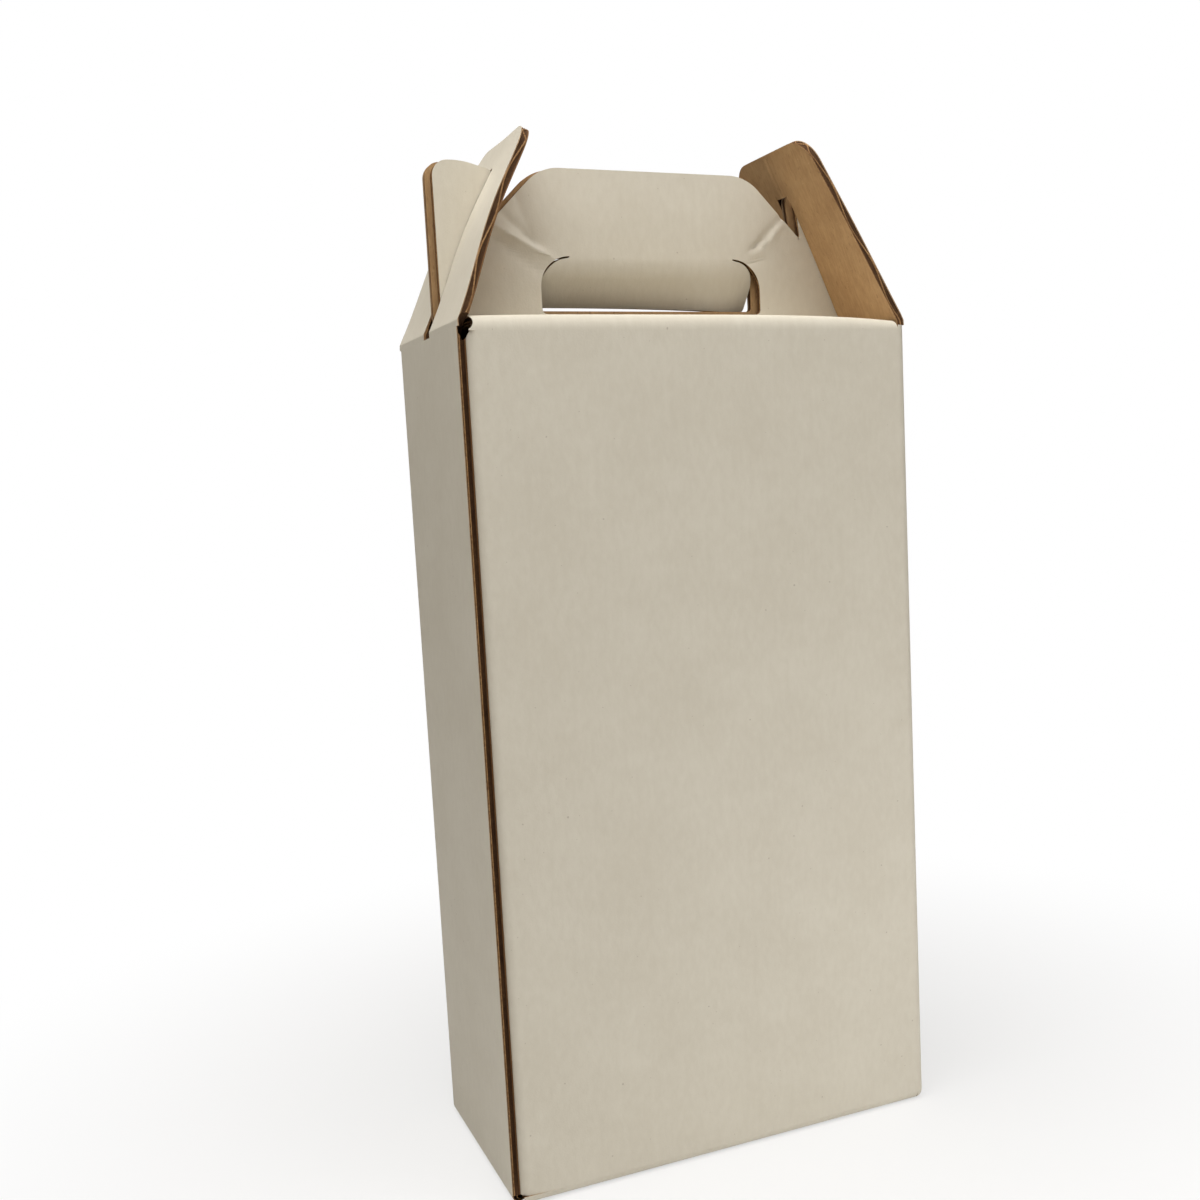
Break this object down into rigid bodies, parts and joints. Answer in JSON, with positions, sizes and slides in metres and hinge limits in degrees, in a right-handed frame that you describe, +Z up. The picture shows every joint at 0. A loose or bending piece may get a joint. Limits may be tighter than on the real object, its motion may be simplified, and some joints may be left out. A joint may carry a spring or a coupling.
{
  "type": "bottle carrier box",
  "caption": "Upright corrugated-board carrier box for bottles, closed on top by slotted side flaps locked over a standing handle with a hand hole.",
  "frame": {"origin": "middle of the floor, on the surface the box stands on", "axes": "+Z up, +X along the front wall from the glued corner to the right, +Y from the front wall to the back wall"},
  "size_m": [0.18, 0.09, 0.3938],
  "materials": {
    "lined_board": "matt warm-white paper liner outside, brown kraft liner inside, brown corrugated cut edges"
  },
  "bodies": {
    "carton": {"carton_body": "lined_board"},
    "left_flap": {"left_flap": "lined_board"},
    "right_flap": {"right_flap": "lined_board"}
  },
  "joints": [
    {"name": "left_flap_fold", "type": "hinge", "parent": "carton", "child": "left_flap", "pos_m": [-0.0885, 0, 0.321], "axis": [0, 1, 0], "range_deg": [-115.5, 5]},
    {"name": "right_flap_fold", "type": "hinge", "parent": "carton", "child": "right_flap", "pos_m": [0.0885, 0, 0.321], "axis": [0, -1, 0], "range_deg": [-113, 7]}
  ]
}
